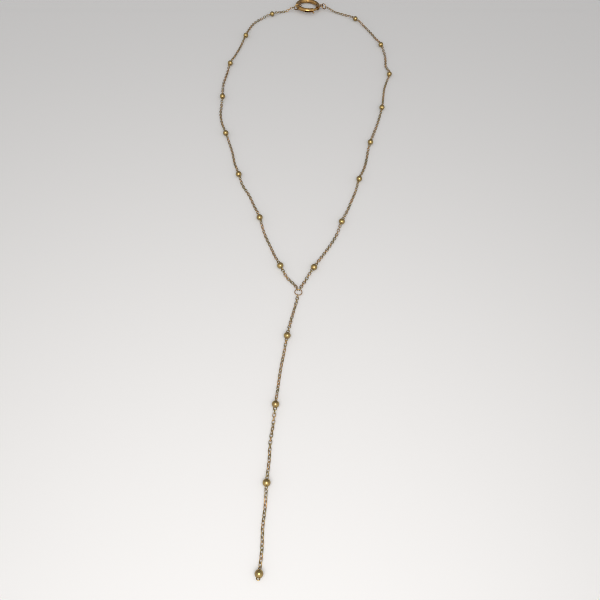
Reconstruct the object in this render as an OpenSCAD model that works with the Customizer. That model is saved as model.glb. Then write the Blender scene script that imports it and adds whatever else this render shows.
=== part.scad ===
// Y necklace: a loop of fine cable chain with round beads, and a beaded drop at the front.
// It lies on a surface, closed by a spring ring. Millimetres, +Z up, +Y from the drop to the clasp.

/* [Beads] */
// Diameter of a round bead
bead_d = 2.4; // [2.3:0.05:2.5]
// Distance between the centres of two beads, along the chain
bead_spacing = 25; // [24.8:0.1:25.2]
// Distance from a bead's middle to the outer end of its wire eyes
eye_reach = 2.3; // [2.25:0.05:2.4]
// Outer diameter of the round eye that the last bead keeps free
end_eye_d = 1.2; // [1.1:0.05:1.3]
// Thickness of its wire
end_eye_wire = 0.3; // [0.26:0.02:0.32]
// How far the last bead tips up its free eye
end_tip = 22; // [18:1:22]

/* [Chain] */
// Thickness of the wire of the links and of the beads' eyes
wire_d = 0.25; // [0.24:0.01:0.26]
// Width of the hole in a link
hole_w = 0.7; // [0.66:0.02:0.72]
// Length of the hole in a link
hole_l = 1.25; // [1.23:0.01:1.28]
// Stretches between beads that are made link by link, on each side of the front
linked_stretches = 3; // [1:1:3]

/* [Front ring] */
// Outer diameter of the ring at the front
front_ring_d = 2.9; // [2.8:0.05:3]
// Thickness of its wire
front_ring_wire = 0.32; // [0.28:0.02:0.32]

/* [Clasp] */
// Outer diameter of the spring ring
clasp_d = 13; // [12.6:0.1:13.4]
// Diameter of its tube
clasp_tube_d = 2; // [1.9:0.1:2]
// Wall thickness of its tube
clasp_wall = 0.3; // [0.25:0.05:0.3]
// How far the near side of the spring ring is raised
clasp_lean = 6; // [3:1:8]
// Diameter of the sprung wire that closes its gap
gate_d = 1.1; // [1:0.05:1.1]
// Diameter of the knob on that wire
knob_d = 0.9; // [0.8:0.1:1]
// How far below the outer side of the tube the knob sits
knob_dip = 22; // [20:1:24]
// Outer diameter of the soldered eye
clasp_eye_d = 2.2; // [2.2:0.05:2.4]
// Thickness of the wire of the eye
clasp_eye_wire = 0.5; // [0.4:0.05:0.5]

/* [Jump rings] */
// Outer diameter of the jump ring in the eye
eye_jump_d = 3; // [2.8:0.1:3.2]
// Outer diameter of the jump ring that the spring ring hooks into
end_jump_d = 4.4; // [4.3:0.1:4.6]
// Thickness of the wire of both jump rings
jump_wire = 0.4; // [0.36:0.02:0.4]

/* [Hidden] */
SIDES = ["left", "right"];

GOLD = "goldenrod";
BEAD_GOLD = "darkgoldenrod";
GAP = 0.1; // clearance between two pieces that hook into each other

// Each route starts at the front ring and runs along the chain. Columns: x, y
front_ring_at = [1.9, -47.6];
left_route = [
  front_ring_at,
  [0.9, -45.3], [-0.6, -43.6], [-2.5, -41.8], [-4.1, -39.3], [-5.4, -36.6], [-7.2, -33.5], [-9.4, -28.5],
  [-12, -23], [-14, -17.5], [-15.1, -14], [-17.8, -8], [-20.4, -2.4], [-23.6, 2.8], [-25.7, 8.3],
  [-28.2, 15], [-29.6, 20.5], [-31.5, 26], [-34, 32.4], [-36.4, 38.8], [-37.8, 44.6], [-38.2, 50.6],
  [-38.5, 56.8], [-39.2, 63.5], [-39.2, 68], [-38.5, 75], [-38, 81.7], [-36.4, 89], [-35, 95],
  [-33.9, 101], [-33, 105.6], [-31.7, 113], [-29.5, 118.6], [-25.7, 123.2], [-21.6, 126.5],
  [-17.4, 129.6], [-14.6, 131.2], [-12, 132.3]
];
right_route = [
  front_ring_at,
  [2.7, -45.3], [3.7, -43.2], [5.3, -39.7], [7, -36.2], [10, -30.2], [12.8, -24.7], [15.1, -19.2],
  [16.8, -13], [19, -6.6], [20.7, -0.8], [22.4, 5], [23.7, 11.4], [25.9, 18.4], [27, 24.3], [27.7, 30],
  [28.7, 34.6], [30.3, 41], [31.9, 47], [33.2, 53], [34.3, 59], [35.1, 66], [35.6, 72], [36.8, 77.7],
  [38.5, 84], [37.9, 87.2], [36.9, 90.5], [36.9, 95], [36.7, 100], [35.7, 104.5], [34.7, 108],
  [31.7, 114.5], [28.8, 119.8], [25.4, 125], [21.8, 129], [17, 132], [12.5, 133.8], [8.6, 135.4]
];
drop_route = [
  front_ring_at,
  [1.4, -52], [0.4, -57.5], [-0.6, -63.8], [-0.9, -66.3], [-1.5, -72.4], [-2.2, -79], [-2.6, -86],
  [-2.9, -91.6], [-3.1, -98], [-3.5, -104], [-3.4, -110], [-3.6, -116.5], [-3.4, -122.7],
  [-3.6, -128.7], [-3.3, -135], [-3.5, -141.1], [-3.8, -144]
];

// Turn of the chain about its own run. Columns: distance from the front ring, degrees
left_turn = [[0, 0], [14, 0], [24, 40], [40, 45], [60, 50], [88, 30], [188, -50], [200, -50]];
right_turn = [[0, 0], [30, 0], [45, 30], [60, 45], [88, 15], [188, 90], [200, 90]];
drop_turn = [
  [0, 0], [2.5, 0], [7, 45], [14, 10], [20, 10], [26, 45], [40, 45], [46, 10], [49, 10], [52, 40], [56, 10],
  [60, 45], [92.4, 45], [95.2, 0]
];

// Distance along the chain from the front ring to the first bead of each strand, and how far each bead sits
// past its even place, because the chain lies straight in some stretches and bunched in others
side_lead = 13.3;
drop_lead = 18.8;
left_slip = [0, -0.4, -0.5, 0, 0, 0.1, -0.6, -0.7];
right_slip = [-0.8, -0.3, -0.1, -1.5, -1.7, -0.8, -1.6, -1.6];
drop_slip = [0, 0.5, 0.4, 0];

bead_r = bead_d / 2;
wire_r = wire_d / 2;
bend_r = (hole_w + wire_d) / 2;           // centreline radius of the round ends of links and eyes
half_link = (hole_l + wire_d) / 2;        // from a link's middle to the centreline of its end
LINK_GAP = 0.13;                          // clearance of links in each other, less where the chain rises
longest_pitch = hole_l - LINK_GAP;        // distance between links, pulled straight
chain_d = hole_w + 2 * wire_d;            // outer width of the chain
FLOOR_GAP = 0.05;                         // clearance of the level chain over the surface
HOOK_GAP = 0.14;                          // clearance of the chain in the eyes, which it meets at an angle
TUBE_GAP = 0.13;                          // clearance of a tube's end from the eye or ring before it

eye_bend_at = eye_reach - wire_r - bend_r; // from a bead's middle to the middle of its eye's round end
leg_from = 0.7 * bead_r;                  // where the eye's legs end inside the ball
eye_at = (bead_r + eye_reach - wire_d) / 2; // from a bead's middle to the middle of its eye's hole
bead_to_link = eye_reach - wire_d - HOOK_GAP - wire_r + half_link;
bead_to_tube = eye_reach + TUBE_GAP;
END_EYE_SUNK = 0.1;                       // how far the free eye's hole reaches into the ball
end_eye_at = bead_r + end_eye_d / 2 - end_eye_wire - END_EYE_SUNK;

// Rings: centreline radius, then the distance from the ring's centre to the link in it
front_ring_r = (front_ring_d - front_ring_wire) / 2;
eye_jump_r = (eye_jump_d - jump_wire) / 2;
end_jump_r = (end_jump_d - jump_wire) / 2;
function ring_to_link(ring_r, ring_wire) = ring_r - ring_wire / 2 - GAP - wire_r + half_link;
function ring_to_tube(ring_r, ring_wire) = ring_r + ring_wire / 2 + TUBE_GAP;

// Spring ring, about its own middle: angles are degrees from +X. Its far side rests on the surface
clasp_r = (clasp_d - clasp_tube_d) / 2;
clasp_at = [-3.5, 136.5, clasp_tube_d / 2 + clasp_r * sin(clasp_lean) + FLOOR_GAP];
gap_from = -58;
gap_to = -25;
gate_stroke = 35;                         // how far the gate slides round to open the gap
gate_lap = 6;                             // how far the gate's tip reaches past the gap
knob_angle = gap_from - 4.5;
gate_tail = 12;                           // gate wire inside the tube, behind the knob
stem_d = 0.6 * knob_d;
slot_w = stem_d + 0.3;
slot_past_stem = 4.5;                     // degrees from the stem's middle to the slot's end
clasp_eye_turn = 12;                      // where the eye is soldered
clasp_eye_r = (clasp_eye_d - clasp_eye_wire) / 2;
clasp_eye_at = clasp_r + clasp_tube_d / 2 + clasp_eye_r;

// The jump ring in the eye stands on its edge
eye_jump_turn = -35;
eye_jump_pass = clasp_eye_at + clasp_eye_r - clasp_eye_wire / 2 - HOOK_GAP - jump_wire / 2;
eye_jump_at = [
  clasp_at.x + eye_jump_pass * cos(clasp_eye_turn) + eye_jump_r * cos(eye_jump_turn),
  clasp_at.y + eye_jump_pass * sin(clasp_eye_turn) + eye_jump_r * sin(eye_jump_turn),
  eye_jump_d / 2 + FLOOR_GAP
];

// The one at the chain's end goes round the tube and leans, with its lowest wire on the surface
end_jump_turn = 209;
end_jump_lean = 70;
end_jump_out = clasp_r + 0.5;
end_jump_at = [
  clasp_at.x + end_jump_out * cos(end_jump_turn),
  clasp_at.y + end_jump_out * sin(end_jump_turn),
  end_jump_r * sin(end_jump_lean) + jump_wire / 2 + FLOOR_GAP
];
front_ring_z = chain_rest(0);

// A strand of the chain. Columns: x by distance, y by distance, turn by distance, distances of the beads,
// length, height of its end, ring at its end
X_BY = 0;
Y_BY = 1;
TURN_BY = 2;
BEADS = 3;
LENGTH = 4;
END_Z = 5;
END_RING = 6;
STEPS = 6;                                // points of the smooth curve in each step of a route

function curve_point(a, b, c, d, t) =
  b + 0.5 * t * (c - a + t * (2 * a - 5 * b + 4 * c - d + t * (3 * b - a - 3 * c + d)));
function smooth(p) =
  let (last = len(p) - 1, q = concat([2 * p[0] - p[1]], p, [2 * p[last] - p[last - 1]]))
  concat([for (i = [0 : last - 1]) for (k = [0 : STEPS - 1])
    curve_point(q[i], q[i + 1], q[i + 2], q[i + 3], k / STEPS)], [p[last]]);
function run(p) =
  [for (i = 0, s = 0; i < len(p); i = i + 1, s = s + (i < len(p) ? norm(p[i] - p[i - 1]) : 0)) s];
function strand(route, turn, lead, slip, end_z, end_ring) =
  let (p = smooth(route), s = run(p), last = len(p) - 1)
  [
    [for (i = [0 : last]) [s[i], p[i].x]],
    [for (i = [0 : last]) [s[i], p[i].y]],
    turn,
    [for (n = [0 : len(slip) - 1]) lead + n * bead_spacing + slip[n]],
    s[last], end_z, end_ring
  ];
function ends_free(c) = is_undef(c[END_Z]);

// Height of the chain's middle: it rests on its lowest wire, and rises to the beads and the clasp's rings.
// The last bead of a free end tips, so that the chain stays on the surface as far as its eye
function chain_rest(turn) = wire_r + FLOOR_GAP + bend_r * max(abs(cos(turn)), abs(sin(turn)));
LEVEL = 2.3;                              // the chain is level this far from a bead's middle
RISE = 7;                                 // and lies on the surface again this far from it
function swell(d) =
  let (t = max(0, min(1, (RISE - abs(d)) / (RISE - LEVEL)))) t * t * (3 - 2 * t);
function height(c, s) =
  let (
    last = len(c[BEADS]) - 1,
    rest = chain_rest(lookup(s, c[TURN_BY])),
    at_bead = max([for (n = [0 : ends_free(c) ? last - 1 : last]) swell(s - c[BEADS][n])]),
    at_end = ends_free(c) ? 0 : (c[END_Z] - rest) * swell(c[LENGTH] - s),
    z = rest + (bead_r - rest) * at_bead + at_end * (1 - at_bead)
  )
  ends_free(c) ? max(z, bead_r + (s - c[BEADS][last]) * tan(end_tip)) : z;
function place(c, s) = [lookup(s, c[X_BY]), lookup(s, c[Y_BY]), height(c, s)];

left_side = strand(
  concat(left_route, [[end_jump_at.x, end_jump_at.y]]), left_turn, side_lead, left_slip,
  end_jump_at.z, [end_jump_r, jump_wire]);
right_side = strand(
  concat(right_route, [[eye_jump_at.x, eye_jump_at.y]]), right_turn, side_lead, right_slip,
  eye_jump_at.z, [eye_jump_r, jump_wire]);
drop = strand(drop_route, drop_turn, drop_lead, drop_slip, undef, undef);

// Middle of the first and last link of a stretch, which runs from its number's bead to the next: 0 starts
// at the front ring
function is_tipped(c, n) = ends_free(c) && n == len(c[BEADS]);
function first_link(c, n) =
  n == 0 ? ring_to_link(front_ring_r, front_ring_wire) : c[BEADS][n - 1] + bead_to_link;
function last_link(c, n) =
  n < len(c[BEADS]) ? c[BEADS][n] - bead_to_link * (is_tipped(c, n + 1) ? cos(end_tip) : 1)
    : c[LENGTH] - ring_to_link(c[END_RING][0], c[END_RING][1]);
function link_count(c, n) = ceil((last_link(c, n) - first_link(c, n)) / longest_pitch) + 1;

// Puts its children at two points of a strand: their X axis runs along it, and they turn about it
module between(a, b, turn) {
  d = b - a;
  translate((a + b) / 2)
    rotate([0, -asin(d.z / norm(d)), atan2(d.y, d.x)])
      rotate([turn, 0, 0])
        children();
}

module wire_ring(r, wire) {
  rotate_extrude($fn = 48) translate([r, 0]) circle(d = wire, $fn = 16);
}

// A half turn of the wire, open towards -X
module wire_bend() {
  rotate([0, 0, -90])
    rotate_extrude(angle = 180, $fn = 24) translate([bend_r, 0]) circle(d = wire_d, $fn = 16);
}

module link() {
  straight = hole_l - hole_w;
  for (end = [0, 180]) rotate([0, 0, end]) {
    translate([straight / 2, 0, 0]) wire_bend();
    translate([-straight / 2, bend_r, 0]) rotate([0, 90, 0]) cylinder(d = wire_d, h = straight, $fn = 16);
  }
}

// Every other link stands across its neighbour, and the first stands on its edge
module linked_stretch(c, n) {
  first = first_link(c, n);
  count = link_count(c, n);
  pitch = (last_link(c, n) - first) / (count - 1);
  for (i = [0 : count - 1]) {
    s = first + i * pitch;
    between(place(c, s - pitch / 2), place(c, s + pitch / 2), lookup(s, c[TURN_BY]) + (i % 2 == 0 ? 90 : 0))
      link();
  }
}

TUBE_SIDES = 8;
TUBE_STEP = 3 * chain_d;                  // longest distance between two rings of a tube
function tube_place(c, s) = let (p = place(c, s)) [p.x, p.y, max(p.z, chain_d / 2 + FLOOR_GAP)];
module tube_stretch(c, n) {
  from = c[BEADS][n - 1] + bead_to_tube;
  to = n == len(c[BEADS]) ? c[LENGTH] - ring_to_tube(c[END_RING][0], c[END_RING][1])
    : c[BEADS][n] - bead_to_tube;
  rings = ceil((to - from) / TUBE_STEP);
  points = [for (i = [0 : rings])
    let (
      s = from + (to - from) * i / rings,
      d = tube_place(c, s + 0.5) - tube_place(c, s - 0.5),
      across = [-d.y, d.x, 0] / norm([d.x, d.y]),
      up = cross(d, across) / norm(d)
    )
    for (k = [0 : TUBE_SIDES - 1])
      let (a = k * 360 / TUBE_SIDES)
      tube_place(c, s) + chain_d / 2 * (cos(a) * across + sin(a) * up)];
  faces = concat(
    [[for (k = [0 : TUBE_SIDES - 1]) k]],
    [[for (k = [TUBE_SIDES - 1 : -1 : 0]) rings * TUBE_SIDES + k]],
    [for (i = [0 : rings - 1]) for (k = [0 : TUBE_SIDES - 1])
      let (a = i * TUBE_SIDES + k, b = i * TUBE_SIDES + (k + 1) % TUBE_SIDES)
      [a, a + TUBE_SIDES, b + TUBE_SIDES, b]]);
  polyhedron(points, faces);
}

// A loop of wire on the +X side of a ball, whose legs end inside it
module bead_eye() {
  translate([eye_bend_at, 0, 0]) wire_bend();
  for (side = [-1, 1])
    translate([leg_from, side * bend_r, 0])
      rotate([0, 90, 0])
        cylinder(d = wire_d, h = eye_bend_at - leg_from, $fn = 16);
}

// The round eye at the end of the drop
module end_eye() {
  translate([end_eye_at, 0, 0]) wire_ring((end_eye_d - end_eye_wire) / 2, end_eye_wire);
}

// A ball with an eye at each end. Each eye stands across the link that hooks into it
module bead(c, n) {
  s = c[BEADS][n - 1];
  inner_turn = lookup(s - eye_at, c[TURN_BY]) + (link_count(c, n - 1) % 2 == 0 ? 90 : 0);
  outer_turn = lookup(s + eye_at, c[TURN_BY]);
  color(BEAD_GOLD) between(place(c, s - bead_r), place(c, s + bead_r), 0) {
    rotate([0, 0, 90]) sphere(d = bead_d, $fn = 32);
    rotate([inner_turn, 0, 0]) rotate([0, 0, 180]) bead_eye();
    rotate([outer_turn, 0, 0])
      if (is_tipped(c, n)) end_eye();
      else bead_eye();
  }
}

module chain_front(c) {
  color(GOLD) for (n = [0 : linked_stretches]) linked_stretch(c, n);
}

module chain_back(c) {
  color(GOLD) for (n = [linked_stretches + 1 : len(c[BEADS])]) tube_stretch(c, n);
}

module chain_drop() {
  color(GOLD) for (n = [0 : len(drop[BEADS]) - 1]) linked_stretch(drop, n);
}

module front_ring() {
  color(GOLD) translate([front_ring_at.x, front_ring_at.y, front_ring_z])
    wire_ring(front_ring_r, front_ring_wire);
}

module clasp_jump_ring() {
  color(GOLD) translate(eye_jump_at) rotate([90, 0, eye_jump_turn]) wire_ring(eye_jump_r, jump_wire);
}

module end_jump_ring() {
  color(GOLD) translate(end_jump_at) rotate([0, 0, end_jump_turn])
    rotate([end_jump_lean, 0, 0]) wire_ring(end_jump_r, jump_wire);
}

// Part of a round tube bent about the clasp's middle, from one angle to another
module clasp_arc(from, to, d) {
  rotate([0, 0, from])
    rotate_extrude(angle = to - from, $fn = 72) translate([clasp_r, 0]) circle(d = d, $fn = 48);
}

module clasp_ring() {
  slot_from = knob_angle - gate_stroke - slot_past_stem;
  color(GOLD) translate(clasp_at) rotate([-clasp_lean, 0, 0]) difference() {
    union() {
      clasp_arc(gap_to, gap_from + 360, clasp_tube_d);
      rotate([0, 0, clasp_eye_turn]) translate([clasp_eye_at, 0, 0]) wire_ring(clasp_eye_r, clasp_eye_wire);
    }
    clasp_arc(gap_to - 2, gap_from + 362, clasp_tube_d - 2 * clasp_wall);
    rotate([0, 0, slot_from])
      rotate_extrude(angle = gap_from + 2 - slot_from, $fn = 72)
        translate([clasp_r, 0]) rotate(-knob_dip) translate([0, -slot_w / 2]) square([clasp_tube_d, slot_w]);
  }
}

module clasp_gate() {
  stem_l = clasp_tube_d / 2 + GAP + knob_d / 2;
  color(GOLD) translate(clasp_at) rotate([-clasp_lean, 0, 0]) {
    clasp_arc(knob_angle - gate_tail, gap_to + gate_lap, gate_d);
    rotate([0, 0, knob_angle]) translate([clasp_r, 0, 0]) rotate([0, knob_dip, 0]) {
      rotate([0, 90, 0]) cylinder(d = stem_d, h = stem_l, $fn = 32);
      translate([stem_l, 0, 0]) sphere(d = knob_d, $fn = 48);
    }
  }
}

clasp_ring();
clasp_gate();
clasp_jump_ring();
end_jump_ring();
front_ring();
chain_front(left_side);  // chain_left_front
chain_front(right_side);  // chain_right_front
chain_back(left_side);  // chain_left_back
chain_back(right_side);  // chain_right_back
chain_drop();
for (n = [1 : 8]) bead(left_side, n);
for (n = [1 : 8]) bead(right_side, n);
for (n = [1 : 4]) bead(drop, n);
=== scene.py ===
import math
import random

import bmesh
import bpy
from bpy.props import FloatProperty, FloatVectorProperty, IntProperty, PointerProperty
from mathutils import Matrix, Vector


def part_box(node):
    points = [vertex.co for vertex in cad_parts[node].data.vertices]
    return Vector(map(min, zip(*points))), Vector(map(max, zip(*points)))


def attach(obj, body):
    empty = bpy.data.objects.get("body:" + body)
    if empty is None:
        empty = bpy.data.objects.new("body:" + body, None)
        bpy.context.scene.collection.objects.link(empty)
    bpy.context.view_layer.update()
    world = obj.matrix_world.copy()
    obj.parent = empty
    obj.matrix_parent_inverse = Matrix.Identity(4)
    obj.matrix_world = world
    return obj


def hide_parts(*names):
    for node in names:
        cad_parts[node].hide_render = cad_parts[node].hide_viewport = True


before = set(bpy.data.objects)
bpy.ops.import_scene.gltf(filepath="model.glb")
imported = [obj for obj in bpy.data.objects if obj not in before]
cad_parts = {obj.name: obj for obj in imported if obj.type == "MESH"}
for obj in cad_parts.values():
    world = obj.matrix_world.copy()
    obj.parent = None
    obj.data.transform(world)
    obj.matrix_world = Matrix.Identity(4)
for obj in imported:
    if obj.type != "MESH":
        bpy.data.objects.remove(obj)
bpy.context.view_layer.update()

bl_info = {
    "name": "Beaded Y Necklace",
    "version": (1, 0, 0),
    "blender": (4, 5, 0),
    "location": "View3D > Sidebar > Necklace",
    "description": "Lays the links of a beaded Y necklace, finishes every piece in gold and sets the stage",
    "category": "Object",
}

MM = 0.001
LINK_SEED = 7
SENSOR_MM = 36

# Sizes and places of the stage, in metres
FLOOR_HALF = 4
KEY_SIZE = 0.19
KEY_AT = (0, -0.21, 0.22)
KEY_FACES = (0, -0.06, 0)

# Each route starts at the front ring and runs along the chain, in metres. Columns: x, y
LEFT_ROUTE = [
    (0.0009, -0.0453), (-0.0006, -0.0436), (-0.0025, -0.0418), (-0.0041, -0.0393), (-0.0054, -0.0366),
    (-0.0072, -0.0335), (-0.0094, -0.0285), (-0.012, -0.023), (-0.014, -0.0175), (-0.0151, -0.014),
    (-0.0178, -0.008), (-0.0204, -0.0024), (-0.0236, 0.0028), (-0.0257, 0.0083), (-0.0282, 0.015),
    (-0.0296, 0.0205), (-0.0315, 0.026), (-0.034, 0.0324), (-0.0364, 0.0388), (-0.0378, 0.0446),
    (-0.0382, 0.0506), (-0.0385, 0.0568), (-0.0392, 0.0635), (-0.0392, 0.068), (-0.0385, 0.075),
    (-0.038, 0.0817), (-0.0364, 0.089), (-0.035, 0.095), (-0.0339, 0.101), (-0.033, 0.1056),
    (-0.0317, 0.113), (-0.0295, 0.1186), (-0.0257, 0.1232), (-0.0216, 0.1265), (-0.0174, 0.1296),
    (-0.0146, 0.1312), (-0.012, 0.1323),
]
RIGHT_ROUTE = [
    (0.0027, -0.0453), (0.0037, -0.0432), (0.0053, -0.0397), (0.007, -0.0362), (0.01, -0.0302),
    (0.0128, -0.0247), (0.0151, -0.0192), (0.0168, -0.013), (0.019, -0.0066), (0.0207, -0.0008),
    (0.0224, 0.005), (0.0237, 0.0114), (0.0259, 0.0184), (0.027, 0.0243), (0.0277, 0.03),
    (0.0287, 0.0346), (0.0303, 0.041), (0.0319, 0.047), (0.0332, 0.053), (0.0343, 0.059),
    (0.0351, 0.066), (0.0356, 0.072), (0.0368, 0.0777), (0.0385, 0.084), (0.0379, 0.0872),
    (0.0369, 0.0905), (0.0369, 0.095), (0.0367, 0.1), (0.0357, 0.1045), (0.0347, 0.108),
    (0.0317, 0.1145), (0.0288, 0.1198), (0.0254, 0.125), (0.0218, 0.129), (0.017, 0.132),
    (0.0125, 0.1338), (0.0086, 0.1354),
]
DROP_ROUTE = [
    (0.0014, -0.052), (0.0004, -0.0575), (-0.0006, -0.0638), (-0.0009, -0.0663), (-0.0015, -0.0724),
    (-0.0022, -0.079), (-0.0026, -0.086), (-0.0029, -0.0916), (-0.0031, -0.098), (-0.0035, -0.104),
    (-0.0034, -0.11), (-0.0036, -0.1165), (-0.0034, -0.1227), (-0.0036, -0.1287), (-0.0033, -0.135),
    (-0.0035, -0.1411), (-0.0038, -0.144),
]

# Turn of the chain about its own run. Columns: distance from the front ring in metres, degrees
LEFT_TURN = [
    (0, 0), (0.014, 0), (0.024, 40), (0.04, 45), (0.06, 50), (0.088, 30), (0.188, -50), (0.2, -50),
]
RIGHT_TURN = [(0, 0), (0.03, 0), (0.045, 30), (0.06, 45), (0.088, 15), (0.188, 90), (0.2, 90)]
DROP_TURN = [
    (0, 0), (0.0025, 0), (0.007, 45), (0.014, 10), (0.02, 10), (0.026, 45), (0.04, 45), (0.046, 10),
    (0.049, 10), (0.052, 40), (0.056, 10), (0.06, 45), (0.0924, 45), (0.0952, 0),
]

# How far each bead sits past its even place along its strand, in metres
LEFT_SLIP = (0, -0.0004, -0.0005, 0, 0, 0.0001, -0.0006, -0.0007)
RIGHT_SLIP = (-0.0008, -0.0003, -0.0001, -0.0015, -0.0017, -0.0008, -0.0016, -0.0016)
DROP_SLIP = (0, 0.0005, 0.0004, 0)


def linear(hex_colour):
    """The linear value of an sRGB colour written as #RRGGBB."""
    parts = [int(hex_colour[i:i + 2], 16) / 255 for i in (1, 3, 5)]
    return tuple(c / 12.92 if c <= 0.04045 else ((c + 0.055) / 1.055) ** 2.4 for c in parts)


def node_size(node):
    low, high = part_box(node)
    return high - low


def node_middle(node):
    low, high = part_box(node)
    return (low + high) / 2


class NecklaceSizes(bpy.types.PropertyGroup):
    """Sizes of the chain, the same as those of the frame"""
    bead: FloatProperty(
        name="Bead", description="Diameter of a round bead",
        default=2.4 * MM, subtype="DISTANCE", unit="LENGTH")
    bead_spacing: FloatProperty(
        name="Bead spacing", description="Distance between two beads along the chain",
        default=25 * MM, subtype="DISTANCE", unit="LENGTH")
    eye_reach: FloatProperty(
        name="Eye reach", description="Distance from a bead's middle to the outer end of its eyes",
        default=2.3 * MM, subtype="DISTANCE", unit="LENGTH")
    end_tip: FloatProperty(
        name="End tip", description="How far the last bead of the drop tips up its free eye",
        default=math.radians(22), subtype="ANGLE", unit="ROTATION")
    side_lead: FloatProperty(
        name="Side lead", description="Distance from the front ring to the first bead of a side",
        default=13.3 * MM, subtype="DISTANCE", unit="LENGTH")
    drop_lead: FloatProperty(
        name="Drop lead", description="Distance from the front ring to the first bead of the drop",
        default=18.8 * MM, subtype="DISTANCE", unit="LENGTH")
    wire: FloatProperty(
        name="Link wire", description="Thickness of the wire of the links",
        default=0.25 * MM, subtype="DISTANCE", unit="LENGTH")
    hole_width: FloatProperty(
        name="Hole width", description="Width of the hole in a link",
        default=0.7 * MM, subtype="DISTANCE", unit="LENGTH")
    hole_length: FloatProperty(
        name="Hole length", description="Length of the hole in a link",
        default=1.25 * MM, subtype="DISTANCE", unit="LENGTH")
    jump_wire: FloatProperty(
        name="Jump ring wire", description="Thickness of the wire of both jump rings",
        default=0.4 * MM, subtype="DISTANCE", unit="LENGTH")
    end_jump: FloatProperty(
        name="End jump ring", description="Outer diameter of the jump ring in the spring ring",
        default=4.4 * MM, subtype="DISTANCE", unit="LENGTH")
    bend_steps: IntProperty(
        name="Bend steps", description="Facets along each round end of a link", default=7, min=3, max=16)
    wire_sides: IntProperty(
        name="Wire sides", description="Facets round the wire of a link", default=6, min=5, max=12)


class NecklaceFinish(bpy.types.PropertyGroup):
    """Colours and polish of the gold plate"""
    chain_warm: FloatVectorProperty(
        name="Chain, warm", description="Gold of the links that lean to amber",
        subtype="COLOR", default=linear("#B69267"), min=0, max=1)
    chain_cool: FloatVectorProperty(
        name="Chain, cool", description="Gold of the links that lean to olive",
        subtype="COLOR", default=linear("#8E825C"), min=0, max=1)
    chain_roughness: FloatProperty(
        name="Chain roughness", description="Roughness of the tumbled wire", default=0.3, min=0, max=1)
    bead_bright: FloatVectorProperty(
        name="Bead, bright", description="Gold of the freshly polished parts of a bead",
        subtype="COLOR", default=linear("#AC965F"), min=0, max=1)
    bead_dull: FloatVectorProperty(
        name="Bead, dull", description="Gold of the worn parts of a bead",
        subtype="COLOR", default=linear("#947B55"), min=0, max=1)
    bead_roughness: FloatProperty(
        name="Bead roughness", description="Roughness of the polished beads", default=0.17, min=0, max=1)
    clasp_bright: FloatVectorProperty(
        name="Clasp, bright", description="Gold of the polished clasp",
        subtype="COLOR", default=linear("#C29C60"), min=0, max=1)
    clasp_dull: FloatVectorProperty(
        name="Clasp, dull", description="Gold of the worn parts of the clasp",
        subtype="COLOR", default=linear("#8B6841"), min=0, max=1)
    clasp_roughness: FloatProperty(
        name="Clasp roughness", description="Roughness of the polished clasp", default=0.15, min=0, max=1)


class NecklaceStage(bpy.types.PropertyGroup):
    """Camera, floor and lights"""
    camera_at: FloatVectorProperty(
        name="Camera", description="Place of the camera over the surface",
        subtype="XYZ", unit="LENGTH", default=(-1.531 * MM, -170.568 * MM, 176.15 * MM))
    camera_heading: FloatProperty(
        name="Heading", description="Direction that the camera faces, turned from +Y towards +X",
        default=math.radians(2.0), subtype="ANGLE", unit="ROTATION")
    camera_pitch: FloatProperty(
        name="Pitch", description="How far the camera looks below the horizon",
        default=math.radians(55.7), subtype="ANGLE", unit="ROTATION")
    camera_roll: FloatProperty(
        name="Roll", description="Roll of the camera about its view",
        default=math.radians(6.2), subtype="ANGLE", unit="ROTATION")
    lens: FloatProperty(
        name="Lens", description=f"Focal length in millimetres on a sensor {SENSOR_MM} mm wide",
        default=36, min=10, max=200)
    floor_colour: FloatVectorProperty(
        name="Floor", description="Colour of the plain surface",
        subtype="COLOR", default=linear("#C8C7C6"), min=0, max=1)
    room_light: FloatProperty(
        name="Room light", description="Strength of the light of the room, seen sideways",
        default=0.78, min=0)
    key_power: FloatProperty(
        name="Key power", description="Power of the soft light behind the camera", default=0.58,
        unit="POWER")


def strand_curve(points, steps=6):
    """A smooth curve through the points of a route, as a list of points."""
    first = 2 * points[0] - points[1]
    last = 2 * points[-1] - points[-2]
    p = [first, *points, last]
    curve = []
    for a, b, c, d in zip(p, p[1:], p[2:], p[3:]):
        for k in range(steps):
            t = k / steps
            bend = 2 * a - 5 * b + 4 * c - d
            change = 3 * b - a - 3 * c + d
            curve.append(b + 0.5 * t * (c - a + t * (bend + t * change)))
    return curve + [points[-1]]


def read_table(table, s):
    """The value at s, on straight lines between the rows of a table, and level past its ends."""
    if s <= table[0][0]:
        return table[0][1]
    for (s0, v0), (s1, v1) in zip(table, table[1:]):
        if s <= s1:
            return v0 + (v1 - v0) * (s - s0) / (s1 - s0)
    return table[-1][1]


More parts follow.
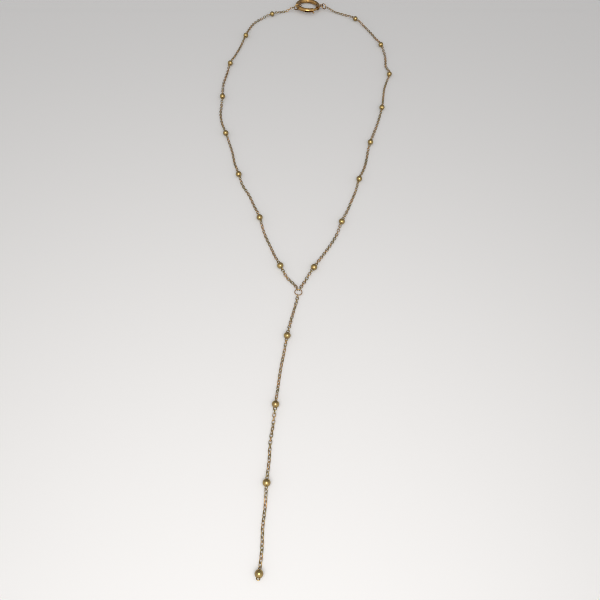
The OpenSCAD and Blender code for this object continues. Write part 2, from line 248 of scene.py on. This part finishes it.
class Strand:
    """One arm of the chain: where it runs, where its beads sit and how it is turned."""

    LEVEL = 2.3 * MM           # the chain is level this far from a bead's middle
    RISE = 7 * MM              # and lies on the surface again this far from it
    FLOOR_GAP = 0.05 * MM
    HOOK_GAP = 0.14 * MM
    RING_GAP = 0.1 * MM
    LINK_GAP = 0.13 * MM

    def __init__(self, sizes, route, turn, lead, slip, end=None):
        start = node_middle("front_ring")
        points = [start.xy, *[Vector(p) for p in route]]
        if end is not None:
            points.append(end["at"].xy)
        curve = strand_curve(points)
        runs = [0]
        for a, b in zip(curve, curve[1:]):
            runs.append(runs[-1] + (b - a).length)
        self.sizes = sizes
        self.x_by = [(s, p.x) for s, p in zip(runs, curve)]
        self.y_by = [(s, p.y) for s, p in zip(runs, curve)]
        self.turn_by = turn
        self.length = runs[-1]
        self.beads = [lead + n * sizes.bead_spacing + slipped for n, slipped in enumerate(slip)]
        self.end = end
        self.wire_r = sizes.wire / 2
        self.bend_r = (sizes.hole_width + sizes.wire) / 2
        self.half_link = (sizes.hole_length + sizes.wire) / 2
        self.bead_to_link = sizes.eye_reach - sizes.wire - self.HOOK_GAP - self.wire_r + self.half_link

    def ring_to_link(self, outer, wire):
        """Distance from the middle of a ring to the middle of the link that hooks into it."""
        return outer / 2 - wire - self.RING_GAP - self.wire_r + self.half_link

    def rest(self, turn):
        """Height of the middle of the chain where it lies on the surface."""
        lean = max(abs(math.cos(math.radians(turn))), abs(math.sin(math.radians(turn))))
        return self.wire_r + self.FLOOR_GAP + self.bend_r * lean

    def swell(self, distance):
        t = max(0, min(1, (self.RISE - abs(distance)) / (self.RISE - self.LEVEL)))
        return t * t * (3 - 2 * t)

    def height(self, s):
        """Height of the chain: it rises to each bead and end ring, but a free end's last bead tips."""
        rest = self.rest(read_table(self.turn_by, s))
        level_beads = self.beads if self.end else self.beads[:-1]
        at_bead = max(self.swell(s - b) for b in level_beads)
        z = rest + (self.sizes.bead / 2 - rest) * at_bead
        if self.end is None:
            return max(z, self.sizes.bead / 2 + (s - self.beads[-1]) * math.tan(self.sizes.end_tip))
        return z + (self.end["at"].z - rest) * self.swell(self.length - s) * (1 - at_bead)

    def place(self, s):
        return Vector((read_table(self.x_by, s), read_table(self.y_by, s), self.height(s)))

    def link_places(self, stretch):
        """Distances of the links of a stretch, which runs from its number's bead to the next."""
        if stretch == 0:
            ring = node_size("front_ring")
            first = self.ring_to_link(ring.x, ring.z)
        else:
            first = self.beads[stretch - 1] + self.bead_to_link
        if stretch == len(self.beads):
            last = self.length - self.ring_to_link(self.end["outer"], self.end["wire"])
        else:
            to_tipped = self.end is None and stretch == len(self.beads) - 1
            tip = self.sizes.end_tip if to_tipped else 0
            last = self.beads[stretch] - self.bead_to_link * math.cos(tip)
        longest_pitch = self.sizes.hole_length - self.LINK_GAP
        steps = math.ceil((last - first) / longest_pitch)
        return [first + (last - first) * i / steps for i in range(steps + 1)]


def between(a, b, turn):
    """A matrix that puts a shape midway from a to b, its X axis along the line, turned about it."""
    d = b - a
    heading = Matrix.Rotation(math.atan2(d.y, d.x), 4, "Z")
    slope = Matrix.Rotation(-math.asin(d.z / d.length), 4, "Y")
    return Matrix.Translation((a + b) / 2) @ heading @ slope @ Matrix.Rotation(turn, 4, "X")


def link_mesh(sizes):
    """One oval link: a wire bent round one end, drawn along a straight side, bent back and closed."""
    bend_r = (sizes.hole_width + sizes.wire) / 2
    half_straight = (sizes.hole_length - sizes.hole_width) / 2
    bm = bmesh.new()
    made = bmesh.ops.create_circle(bm, segments=sizes.wire_sides, radius=sizes.wire / 2)
    face_along_x = Matrix.Rotation(math.radians(90), 4, "Y")
    start = Matrix.Translation((half_straight, -bend_r, 0)) @ face_along_x
    bmesh.ops.transform(bm, matrix=start, verts=made["verts"])
    first_loop = list(bm.edges)
    loop = first_loop
    for side in (1, -1):
        turned = bmesh.ops.spin(
            bm, geom=loop, cent=(side * half_straight, 0, 0), axis=(0, 0, 1), angle=math.pi,
            steps=sizes.bend_steps, use_duplicate=False)
        loop = [e for e in turned["geom_last"] if isinstance(e, bmesh.types.BMEdge)]
        if side == 1:
            drawn = bmesh.ops.extrude_edge_only(bm, edges=loop)["geom"]
            moved = [v for v in drawn if isinstance(v, bmesh.types.BMVert)]
            bmesh.ops.translate(bm, vec=(-2 * half_straight, 0, 0), verts=moved)
            loop = [e for e in drawn if isinstance(e, bmesh.types.BMEdge) and e.verts[0] in moved
                    and e.verts[1] in moved]
    bmesh.ops.bridge_loops(bm, edges=loop + first_loop)
    bmesh.ops.recalc_face_normals(bm, faces=bm.faces)
    for face in bm.faces:
        face.smooth = True
    mesh = bpy.data.meshes.new("link")
    bm.to_mesh(mesh)
    bm.free()
    return mesh


def lay_chain(name, node, strand, stretches, material):
    """Lays the links of some stretches of a strand, and puts them in the place of a node of the frame."""
    link = link_mesh(strand.sizes)
    draw = random.Random(f"{name} {LINK_SEED}")
    bm = bmesh.new()
    tone = bm.verts.layers.float.new("tone")
    for stretch in stretches:
        places = strand.link_places(stretch)
        half = (places[1] - places[0]) / 2
        for i, s in enumerate(places):
            across = 90 if i % 2 == 0 else 0
            turn = math.radians(read_table(strand.turn_by, s) + across)
            held = len(bm.verts)
            bm.from_mesh(link)
            bm.verts.ensure_lookup_table()
            new = bm.verts[held:]
            shade = draw.random()
            for v in new:
                v[tone] = shade
            place = between(strand.place(s - half), strand.place(s + half), turn)
            bmesh.ops.transform(bm, matrix=place, verts=new)
    mesh = bpy.data.meshes.new(name)
    bm.to_mesh(mesh)
    bm.free()
    bpy.data.meshes.remove(link)
    piece = bpy.data.objects.new(name, mesh)
    bpy.context.scene.collection.objects.link(piece)
    piece.data.materials.append(material)
    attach(piece, "necklace")
    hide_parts(node)


def add_node(tree, kind, inputs=None, **settings):
    """Adds a node, sets its settings, and sets or links its inputs."""
    made = tree.nodes.new(kind)
    for name, value in settings.items():
        setattr(made, name, value)
    for name, value in (inputs or {}).items():
        if isinstance(value, bpy.types.NodeSocket):
            tree.links.new(value, made.inputs[name])
        else:
            made.inputs[name].default_value = value
    return made


def gold_plate(name, bright, dull, roughness, patch, grain, by_link=False):
    """Gold plate on brass: worn patches are duller, and polishing has left a fine grain.

    The real grain is too fine to show, so it is drawn as coarse as it needs to.
    """
    uneven = 0.3
    relief_depth = 0.05 * grain
    material = bpy.data.materials.new(name)
    material.use_nodes = True
    tree = material.node_tree
    tree.nodes.clear()
    at = add_node(tree, "ShaderNodeTexCoord").outputs["Object"]
    worn = add_node(
        tree, "ShaderNodeTexNoise",
        {"Vector": at, "Scale": 1 / patch, "Detail": 3.0, "Roughness": 0.55}).outputs["Fac"]
    if by_link:
        link_tone = add_node(tree, "ShaderNodeAttribute", attribute_name="tone").outputs["Fac"]
        worn = add_node(
            tree, "ShaderNodeMath", {0: worn, 1: link_tone}, operation="ADD").outputs["Value"]
        worn = add_node(tree, "ShaderNodeMath", {0: worn, 1: 0.5}, operation="MULTIPLY").outputs["Value"]
    spread = add_node(
        tree, "ShaderNodeMapRange",
        {"Value": worn, "From Min": 0.3, "From Max": 0.7}).outputs["Result"]
    colour = add_node(
        tree, "ShaderNodeMix", {0: spread, 6: (*bright, 1), 7: (*dull, 1)}, data_type="RGBA").outputs[2]
    scuffs = add_node(
        tree, "ShaderNodeTexNoise", {"Vector": at, "Scale": 1 / grain, "Detail": 4.0}).outputs["Fac"]
    smoothest = roughness * (1 - uneven)
    roughest = roughness * (1 + uneven)
    rough = add_node(
        tree, "ShaderNodeMapRange",
        {"Value": scuffs, "To Min": smoothest, "To Max": roughest}).outputs["Result"]
    relief = add_node(
        tree, "ShaderNodeBump",
        {"Height": scuffs, "Strength": 0.25, "Distance": relief_depth}).outputs["Normal"]
    shader = add_node(
        tree, "ShaderNodeBsdfPrincipled",
        {"Base Color": colour, "Metallic": 1.0, "Roughness": rough, "Normal": relief})
    add_node(tree, "ShaderNodeOutputMaterial", {"Surface": shader.outputs["BSDF"]})
    return material


def chain_material():
    """Drawn brass wire, gold plated and tumbled: a soft shine whose tone wanders from link to link."""
    finish = bpy.context.scene.necklace_finish
    name = "gold_plated_drawn_wire"
    found = bpy.data.materials.get(name)
    return found or gold_plate(
        name, finish.chain_warm, finish.chain_cool, finish.chain_roughness,
        patch=3 * MM, grain=0.12 * MM, by_link=True)


def bead_material():
    """Pressed brass balls, gold plated and polished: sharp highlights, with browner patches of wear."""
    finish = bpy.context.scene.necklace_finish
    return gold_plate(
        "gold_plated_polished_balls", finish.bead_bright, finish.bead_dull, finish.bead_roughness,
        patch=1.2 * MM, grain=0.15 * MM)


def clasp_material():
    """Rolled brass tube, gold plated and buffed: a richer amber gold than the chain."""
    finish = bpy.context.scene.necklace_finish
    return gold_plate(
        "gold_plated_buffed_tube", finish.clasp_bright, finish.clasp_dull, finish.clasp_roughness,
        patch=2.5 * MM, grain=0.2 * MM)


def finish_nodes(nodes, material):
    """Gives nodes of the frame that keep their shape a finish in place of their plain one."""
    for name in nodes:
        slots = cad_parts[name].material_slots
        for slot in slots:
            slot.material = material


def side_strand(side):
    """The strand of the left or the right side of the neck."""
    sizes = bpy.context.scene.necklace_sizes
    if side == "left":
        end = {"at": node_middle("end_jump_ring"), "outer": sizes.end_jump, "wire": sizes.jump_wire}
        return Strand(sizes, LEFT_ROUTE, LEFT_TURN, sizes.side_lead, LEFT_SLIP, end)
    outer = node_size("clasp_jump_ring").z
    end = {"at": node_middle("clasp_jump_ring"), "outer": outer, "wire": sizes.jump_wire}
    return Strand(sizes, RIGHT_ROUTE, RIGHT_TURN, sizes.side_lead, RIGHT_SLIP, end)


class NECKLACE_OT_front_chain(bpy.types.Operator):
    """Lay the links of both sides from the front ring to the fourth bead"""
    bl_idname = "necklace.front_chain"
    bl_label = "Front Chain"

    def execute(self, context):
        for side in ("left", "right"):
            lay_chain(
                f"{side}_front_links", f"chain_{side}_front", side_strand(side), range(0, 4),
                chain_material())
        return {"FINISHED"}


class NECKLACE_OT_back_chain(bpy.types.Operator):
    """Lay the links of both sides from the fourth bead to the clasp"""
    bl_idname = "necklace.back_chain"
    bl_label = "Back Chain"

    def execute(self, context):
        for side in ("left", "right"):
            lay_chain(
                f"{side}_back_links", f"chain_{side}_back", side_strand(side), range(4, 9),
                chain_material())
        return {"FINISHED"}


class NECKLACE_OT_drop_chain(bpy.types.Operator):
    """Lay the links of the drop from the front ring to its last bead"""
    bl_idname = "necklace.drop_chain"
    bl_label = "Drop Chain"

    def execute(self, context):
        sizes = context.scene.necklace_sizes
        drop = Strand(sizes, DROP_ROUTE, DROP_TURN, sizes.drop_lead, DROP_SLIP)
        lay_chain("drop_links", "chain_drop", drop, range(0, 4), chain_material())
        return {"FINISHED"}


class NECKLACE_OT_beads(bpy.types.Operator):
    """Polish the beads"""
    bl_idname = "necklace.beads"
    bl_label = "Beads"

    def execute(self, context):
        finish_nodes([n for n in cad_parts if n.startswith("bead_")], bead_material())
        return {"FINISHED"}


class NECKLACE_OT_clasp(bpy.types.Operator):
    """Polish the spring ring, its gate, the jump rings and the front ring"""
    bl_idname = "necklace.clasp"
    bl_label = "Clasp and Rings"

    def execute(self, context):
        finish_nodes(["clasp_ring", "clasp_gate", "clasp_jump_ring", "end_jump_ring"], clasp_material())
        finish_nodes(["front_ring"], chain_material())
        return {"FINISHED"}


def add_light(name, place, target, size, power, colour):
    """A square soft light that faces a point."""
    data = bpy.data.lights.new(name, "AREA")
    data.shape = "SQUARE"
    data.size = size
    data.energy = power
    data.color = colour
    light = bpy.data.objects.new(name, data)
    bpy.context.scene.collection.objects.link(light)
    light.location = place
    light.rotation_euler = (Vector(target) - Vector(place)).to_track_quat("-Z", "Y").to_euler()


def floor_material(colour):
    """A plain pale painted board."""
    material = bpy.data.materials.new("pale_painted_board")
    material.use_nodes = True
    shader = material.node_tree.nodes["Principled BSDF"]
    shader.inputs["Base Color"].default_value = (*colour, 1)
    shader.inputs["Roughness"].default_value = 0.6
    shader.inputs["Specular IOR Level"].default_value = 0.2
    return material


def room_world(strength):
    """The light of a room, strongest from the front, where its window is."""
    from_window = strength * 1.7
    from_back = strength * 0.3
    world = bpy.data.worlds.new("soft_room")
    world.use_nodes = True
    tree = world.node_tree
    towards = add_node(tree, "ShaderNodeTexCoord").outputs["Generated"]
    depth = add_node(tree, "ShaderNodeSeparateXYZ", {"Vector": towards}).outputs["Y"]
    light = add_node(
        tree, "ShaderNodeMapRange",
        {"Value": depth, "From Min": -1.0, "To Min": from_window, "To Max": from_back})
    tree.links.new(light.outputs["Result"], tree.nodes["Background"].inputs["Strength"])
    tree.nodes["Background"].inputs["Color"].default_value = (1, 1, 1, 1)
    return world


class NECKLACE_OT_stage(bpy.types.Operator):
    """Set up the floor, the lights and the camera"""
    bl_idname = "necklace.stage"
    bl_label = "Stage"

    def execute(self, context):
        stage = context.scene.necklace_stage
        faintly_warm = (1, 0.985, 0.965)
        self.add_floor(context, stage)
        context.scene.world = room_world(stage.room_light)
        context.scene.view_settings.view_transform = "Standard"
        self.keep_links_clear(context)
        add_light("key", KEY_AT, KEY_FACES, KEY_SIZE, stage.key_power, faintly_warm)
        self.add_camera(context, stage)
        return {"FINISHED"}

    def add_floor(self, context, stage):
        bm = bmesh.new()
        bmesh.ops.create_grid(bm, x_segments=1, y_segments=1, size=FLOOR_HALF)
        mesh = bpy.data.meshes.new("floor")
        bm.to_mesh(mesh)
        bm.free()
        floor = bpy.data.objects.new("floor", mesh)
        floor.data.materials.append(floor_material(stage.floor_colour))
        context.scene.collection.objects.link(floor)

    def keep_links_clear(self, context):
        """The holes of the links are about a pixel wide, so the noise filter mustn't blur them."""
        context.scene.cycles.filter_width = 0.95
        context.scene.cycles.denoising_input_passes = "RGB_ALBEDO"
        context.scene.cycles.denoising_prefilter = "NONE"

    def add_camera(self, context, stage):
        data = bpy.data.cameras.new("camera")
        data.lens = stage.lens
        data.sensor_width = SENSOR_MM
        data.clip_start = 0.01
        camera = bpy.data.objects.new("camera", data)
        context.scene.collection.objects.link(camera)
        turn = stage.camera_heading
        level = Vector((math.sin(turn), math.cos(turn), 0))
        side = Vector((math.cos(turn), -math.sin(turn), 0))
        up = Vector((0, 0, 1))
        forward = level * math.cos(stage.camera_pitch) - up * math.sin(stage.camera_pitch)
        above = level * math.sin(stage.camera_pitch) + up * math.cos(stage.camera_pitch)
        roll = stage.camera_roll
        right = side * math.cos(roll) + above * math.sin(roll)
        top = above * math.cos(roll) - side * math.sin(roll)
        pose = Matrix((right, top, -forward)).transposed().to_4x4()
        camera.matrix_world = Matrix.Translation(stage.camera_at) @ pose
        context.scene.camera = camera


OPERATORS = (
    NECKLACE_OT_stage,
    NECKLACE_OT_drop_chain,
    NECKLACE_OT_front_chain,
    NECKLACE_OT_back_chain,
    NECKLACE_OT_beads,
    NECKLACE_OT_clasp,
)


class NECKLACE_PT_panel(bpy.types.Panel):
    """Lists the steps that make the necklace"""
    bl_idname = "NECKLACE_PT_panel"
    bl_label = "Necklace"
    bl_space_type = "VIEW_3D"
    bl_region_type = "UI"
    bl_category = "Necklace"

    def draw(self, context):
        for operator in OPERATORS:
            self.layout.operator(operator.bl_idname)
        for group in (
                context.scene.necklace_sizes, context.scene.necklace_finish, context.scene.necklace_stage):
            box = self.layout.box()
            for name in group.__annotations__:
                box.prop(group, name)


CLASSES = (NecklaceSizes, NecklaceFinish, NecklaceStage, *OPERATORS, NECKLACE_PT_panel)


def register():
    for cls in CLASSES:
        bpy.utils.register_class(cls)
    bpy.types.Scene.necklace_sizes = PointerProperty(type=NecklaceSizes)
    bpy.types.Scene.necklace_finish = PointerProperty(type=NecklaceFinish)
    bpy.types.Scene.necklace_stage = PointerProperty(type=NecklaceStage)


def unregister():
    del bpy.types.Scene.necklace_stage
    del bpy.types.Scene.necklace_finish
    del bpy.types.Scene.necklace_sizes
    for cls in reversed(CLASSES):
        bpy.utils.unregister_class(cls)


def main():
    register()
    bpy.ops.necklace.stage()
    bpy.ops.necklace.drop_chain()
    bpy.ops.necklace.front_chain()
    bpy.ops.necklace.back_chain()
    bpy.ops.necklace.beads()
    bpy.ops.necklace.clasp()


if __name__ == "__main__":
    main()
